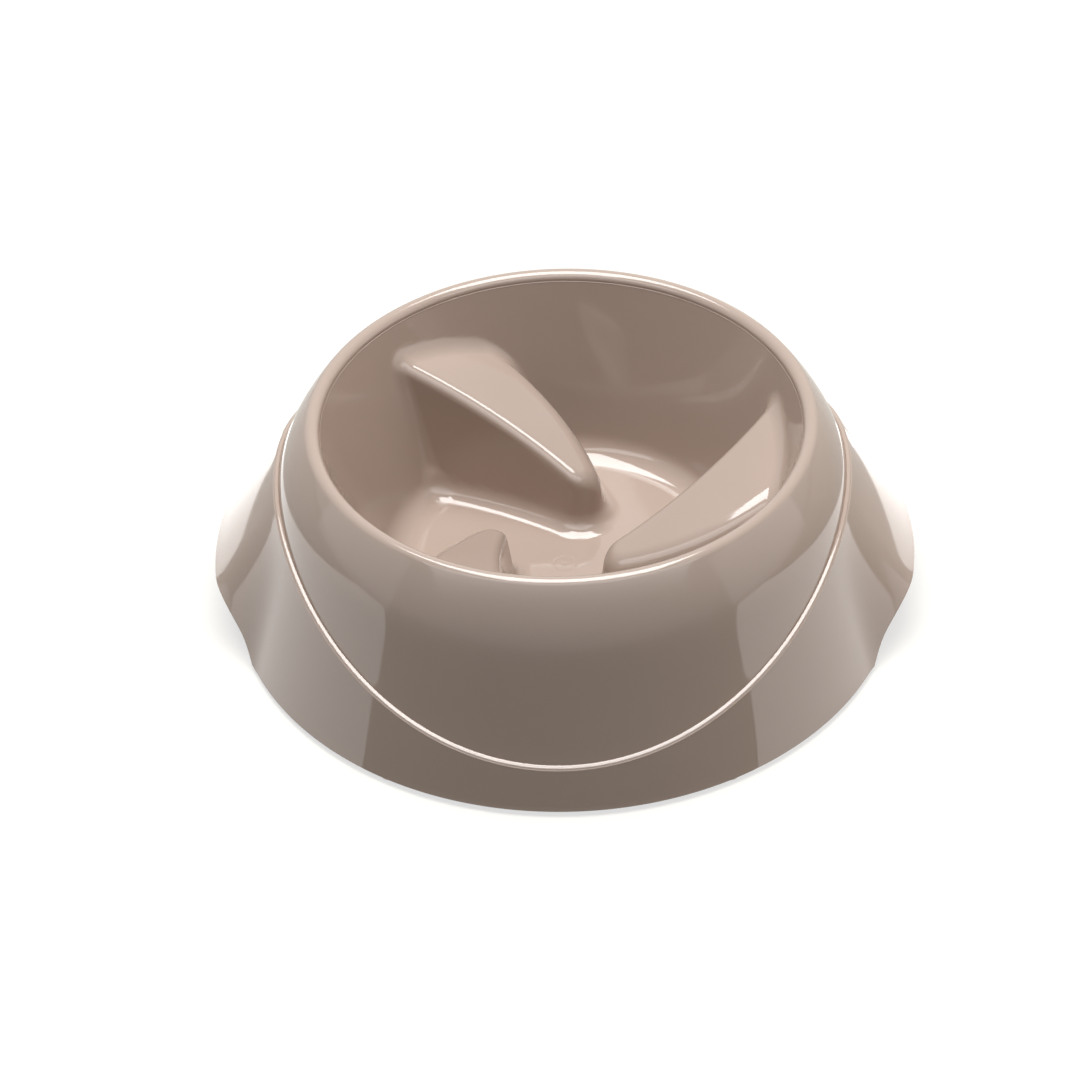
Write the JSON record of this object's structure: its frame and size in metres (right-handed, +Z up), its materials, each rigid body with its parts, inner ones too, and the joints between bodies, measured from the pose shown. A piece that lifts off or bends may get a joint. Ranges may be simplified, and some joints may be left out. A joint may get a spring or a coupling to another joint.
{
  "type": "slow feeder bowl",
  "caption": "Round moulded plastic slow feeder bowl with sloping sides, swirling fins inside, a raised and flared grip on each side, and rubber feet.",
  "frame": {"origin": "on the ground under the middle of the round base, where the feet stand", "axes": "+X to the right grip, -Y to the front, +Z up out of the bowl"},
  "size_m": [0.3018, 0.287, 0.0923],
  "materials": {
    "shell": "glossy injection-moulded taupe plastic",
    "foot_rubber": "matt cream thermoplastic rubber"
  },
  "bodies": {
    "root": {"bowl": "shell", "foot_front_left": "foot_rubber", "foot_front_right": "foot_rubber", "foot_back_left": "foot_rubber", "foot_back_right": "foot_rubber"}
  },
  "joints": []
}
